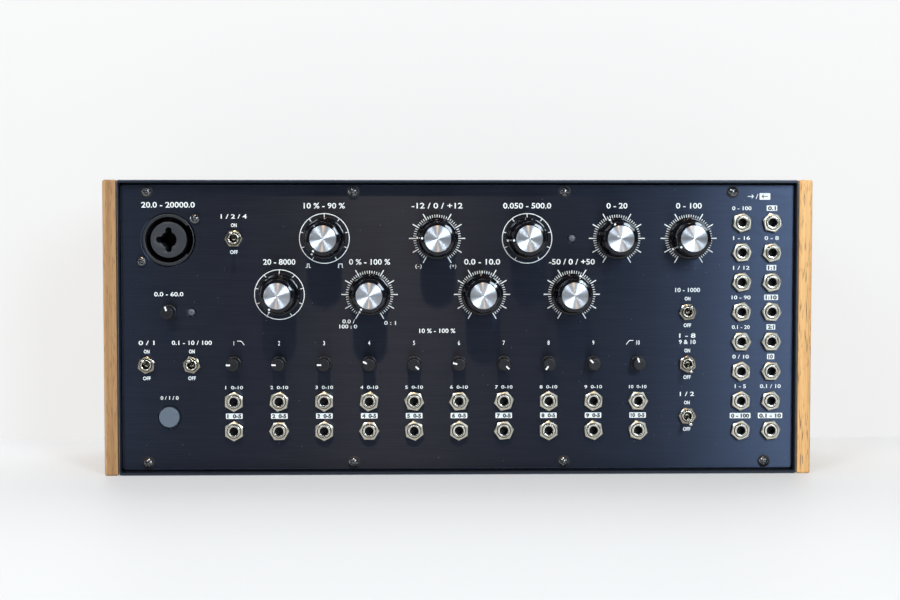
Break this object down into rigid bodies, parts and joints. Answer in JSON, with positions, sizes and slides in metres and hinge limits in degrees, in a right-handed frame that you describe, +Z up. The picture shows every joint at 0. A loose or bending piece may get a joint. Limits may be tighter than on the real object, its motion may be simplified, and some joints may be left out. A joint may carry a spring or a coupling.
{
  "type": "analog vocoder",
  "caption": "Desktop vocoder: black panel of knobs, toggle switches and patch jacks in a shallow metal case with wooden end cheeks.",
  "frame": {"origin": "middle of the base of the bounding box, standing on its long side as in the picture", "axes": "+X to the right along the panel, +Y from the panel into the case, +Z up"},
  "size_m": [0.319, 0.107, 0.133],
  "materials": {
    "case_metal": "black anodised, fine satin",
    "panel_metal": "black anodised, brushed along its length",
    "cheek_wood": "pale ash, oiled, straight grain",
    "foot_rubber": "moulded black rubber",
    "jack_metal": "nickel-plated necks and nuts on a plastic-bodied jack board",
    "circuit_board": "green solder mask",
    "black_screw": "black oxide steel",
    "toggle_metal": "warm bright nickel",
    "lever_metal": "bright nickel",
    "button_plastic": "blue-grey moulded plastic",
    "lamp_lens": "clouded grey lens, unlit",
    "small_knob_plastic": "matte black moulded plastic",
    "large_knob_plastic": "glossy black moulded plastic with a spun inlay",
    "socket_plastic": "black glass-filled plastic"
  },
  "bodies": {
    "case": {"amplifier_toggle_body": "toggle_metal", "band_jack_board": "jack_metal", "band_toggle_body": "toggle_metal", "carrier_toggle_body": "toggle_metal", "case_shell": "case_metal", "combo_socket_insert": "socket_plastic", "combo_socket_shell": "socket_plastic", "front_panel": "panel_metal", "hold_toggle_body": "toggle_metal", "indicator_lamp_1": "lamp_lens", "indicator_lamp_2": "lamp_lens", "left_cheek": "cheek_wood", "main_board": "circuit_board", "mode_toggle_body": "toggle_metal", "output_jack": "socket_plastic", "panel_screw_1": "black_screw", "panel_screw_2": "black_screw", "panel_screw_3": "black_screw", "panel_screw_4": "black_screw", "panel_screw_5": "black_screw", "panel_screw_6": "black_screw", "panel_screw_7": "black_screw", "panel_screw_8": "black_screw", "patch_jack_board": "jack_metal", "power_jack": "socket_plastic", "right_cheek": "cheek_wood", "rubber_foot_1": "foot_rubber", "rubber_foot_2": "foot_rubber", "rubber_foot_3": "foot_rubber", "rubber_foot_4": "foot_rubber", "socket_screw_1": "black_screw", "socket_screw_2": "black_screw", "sync_toggle_body": "toggle_metal"},
    "pulse_width_knob": {"pulse_width_knob": "large_knob_plastic"},
    "shift_knob": {"shift_knob": "large_knob_plastic"},
    "rate_knob": {"rate_knob": "large_knob_plastic"},
    "decay_knob": {"decay_knob": "large_knob_plastic"},
    "frequency_knob": {"frequency_knob": "large_knob_plastic"},
    "mix_knob": {"mix_knob": "large_knob_plastic"},
    "resonance_knob": {"resonance_knob": "large_knob_plastic"},
    "amount_knob": {"amount_knob": "large_knob_plastic"},
    "volume_knob": {"volume_knob": "large_knob_plastic"},
    "input_gain_knob": {"input_gain_knob": "small_knob_plastic"},
    "band_knob_1": {"band_knob_1": "small_knob_plastic"},
    "band_knob_2": {"band_knob_2": "small_knob_plastic"},
    "band_knob_3": {"band_knob_3": "small_knob_plastic"},
    "band_knob_4": {"band_knob_4": "small_knob_plastic"},
    "band_knob_5": {"band_knob_5": "small_knob_plastic"},
    "band_knob_6": {"band_knob_6": "small_knob_plastic"},
    "band_knob_7": {"band_knob_7": "small_knob_plastic"},
    "band_knob_8": {"band_knob_8": "small_knob_plastic"},
    "band_knob_9": {"band_knob_9": "small_knob_plastic"},
    "band_knob_10": {"band_knob_10": "small_knob_plastic"},
    "sync_toggle_lever": {"sync_toggle_lever": "lever_metal"},
    "hold_toggle_lever": {"hold_toggle_lever": "lever_metal"},
    "carrier_toggle_lever": {"carrier_toggle_lever": "lever_metal"},
    "amplifier_toggle_lever": {"amplifier_toggle_lever": "lever_metal"},
    "band_toggle_lever": {"band_toggle_lever": "lever_metal"},
    "mode_toggle_lever": {"mode_toggle_lever": "lever_metal"},
    "trigger_button": {"trigger_button": "button_plastic"}
  },
  "joints": [
    {"name": "pulse_width_knob_turn", "type": "hinge", "parent": "case", "child": "pulse_width_knob", "pos_m": [-0.06066, -0.0375, 0.1067], "axis": [0, 1, 0], "range_deg": [-8, 292]},
    {"name": "shift_knob_turn", "type": "hinge", "parent": "case", "child": "shift_knob", "pos_m": [-0.00986, -0.0375, 0.1067], "axis": [0, 1, 0], "range_deg": [-62, 238]},
    {"name": "rate_knob_turn", "type": "hinge", "parent": "case", "child": "rate_knob", "pos_m": [0.03078, -0.0375, 0.1067], "axis": [0, 1, 0], "range_deg": [-54, 246]},
    {"name": "decay_knob_turn", "type": "hinge", "parent": "case", "child": "decay_knob", "pos_m": [0.07142, -0.0375, 0.1067], "axis": [0, 1, 0], "range_deg": [-127, 173]},
    {"name": "frequency_knob_turn", "type": "hinge", "parent": "case", "child": "frequency_knob", "pos_m": [-0.08098, -0.0375, 0.0814], "axis": [0, 1, 0], "range_deg": [0, 300]},
    {"name": "mix_knob_turn", "type": "hinge", "parent": "case", "child": "mix_knob", "pos_m": [-0.04034, -0.0375, 0.0814], "axis": [0, 1, 0], "range_deg": [0, 300]},
    {"name": "resonance_knob_turn", "type": "hinge", "parent": "case", "child": "resonance_knob", "pos_m": [0.01046, -0.0375, 0.0814], "axis": [0, 1, 0], "range_deg": [-200, 100]},
    {"name": "amount_knob_turn", "type": "hinge", "parent": "case", "child": "amount_knob", "pos_m": [0.0511, -0.0375, 0.0814], "axis": [0, 1, 0], "range_deg": [-174, 126]},
    {"name": "volume_knob_turn", "type": "hinge", "parent": "case", "child": "volume_knob", "pos_m": [0.10404, -0.0375, 0.1067], "axis": [0, 1, 0], "range_deg": [-27, 273]},
    {"name": "input_gain_knob_turn", "type": "hinge", "parent": "case", "child": "input_gain_knob", "pos_m": [-0.13066, -0.0375, 0.0735], "axis": [0, 1, 0], "range_deg": [-135, 165]},
    {"name": "band_knob_1_turn", "type": "hinge", "parent": "case", "child": "band_knob_1", "pos_m": [-0.1016, -0.0375, 0.0501], "axis": [0, 1, 0], "range_deg": [-60, 240]},
    {"name": "band_knob_2_turn", "type": "hinge", "parent": "case", "child": "band_knob_2", "pos_m": [-0.08128, -0.0375, 0.0501], "axis": [0, 1, 0], "range_deg": [-60, 240]},
    {"name": "band_knob_3_turn", "type": "hinge", "parent": "case", "child": "band_knob_3", "pos_m": [-0.06096, -0.0375, 0.0501], "axis": [0, 1, 0], "range_deg": [-60, 240]},
    {"name": "band_knob_4_turn", "type": "hinge", "parent": "case", "child": "band_knob_4", "pos_m": [-0.04064, -0.0375, 0.0501], "axis": [0, 1, 0], "range_deg": [-90, 210]},
    {"name": "band_knob_5_turn", "type": "hinge", "parent": "case", "child": "band_knob_5", "pos_m": [-0.02032, -0.0375, 0.0501], "axis": [0, 1, 0], "range_deg": [-285, 15]},
    {"name": "band_knob_6_turn", "type": "hinge", "parent": "case", "child": "band_knob_6", "pos_m": [0, -0.0375, 0.0501], "axis": [0, 1, 0], "range_deg": [-75, 225]},
    {"name": "band_knob_7_turn", "type": "hinge", "parent": "case", "child": "band_knob_7", "pos_m": [0.02032, -0.0375, 0.0501], "axis": [0, 1, 0], "range_deg": [-285, 15]},
    {"name": "band_knob_8_turn", "type": "hinge", "parent": "case", "child": "band_knob_8", "pos_m": [0.04064, -0.0375, 0.0501], "axis": [0, 1, 0], "range_deg": [-8, 292]},
    {"name": "band_knob_9_turn", "type": "hinge", "parent": "case", "child": "band_knob_9", "pos_m": [0.06096, -0.0375, 0.0501], "axis": [0, 1, 0], "range_deg": [-105, 195]},
    {"name": "band_knob_10_turn", "type": "hinge", "parent": "case", "child": "band_knob_10", "pos_m": [0.08128, -0.0375, 0.0501], "axis": [0, 1, 0], "range_deg": [-132, 168]},
    {"name": "sync_toggle_flip", "type": "hinge", "parent": "case", "child": "sync_toggle_lever", "pos_m": [-0.1013, -0.0375, 0.1067], "axis": [1, 0, 0], "range_deg": [0, 26]},
    {"name": "hold_toggle_flip", "type": "hinge", "parent": "case", "child": "hold_toggle_lever", "pos_m": [-0.14082, -0.0375, 0.0498], "axis": [1, 0, 0], "range_deg": [0, 26]},
    {"name": "carrier_toggle_flip", "type": "hinge", "parent": "case", "child": "carrier_toggle_lever", "pos_m": [-0.1205, -0.0375, 0.0498], "axis": [1, 0, 0], "range_deg": [0, 26]},
    {"name": "amplifier_toggle_flip", "type": "hinge", "parent": "case", "child": "amplifier_toggle_lever", "pos_m": [0.10374, -0.0375, 0.0734], "axis": [1, 0, 0], "range_deg": [0, 26]},
    {"name": "band_toggle_flip", "type": "hinge", "parent": "case", "child": "band_toggle_lever", "pos_m": [0.10374, -0.0375, 0.0498], "axis": [1, 0, 0], "range_deg": [-26, 0]},
    {"name": "mode_toggle_flip", "type": "hinge", "parent": "case", "child": "mode_toggle_lever", "pos_m": [0.10374, -0.0375, 0.0261], "axis": [1, 0, 0], "range_deg": [-26, 0]},
    {"name": "trigger_button_press", "type": "slide", "parent": "case", "child": "trigger_button", "axis": [0, 1, 0], "range_m": [0, 0.0012], "stiffness_N_per_m": 400, "springref_m": -0.0015}
  ]
}
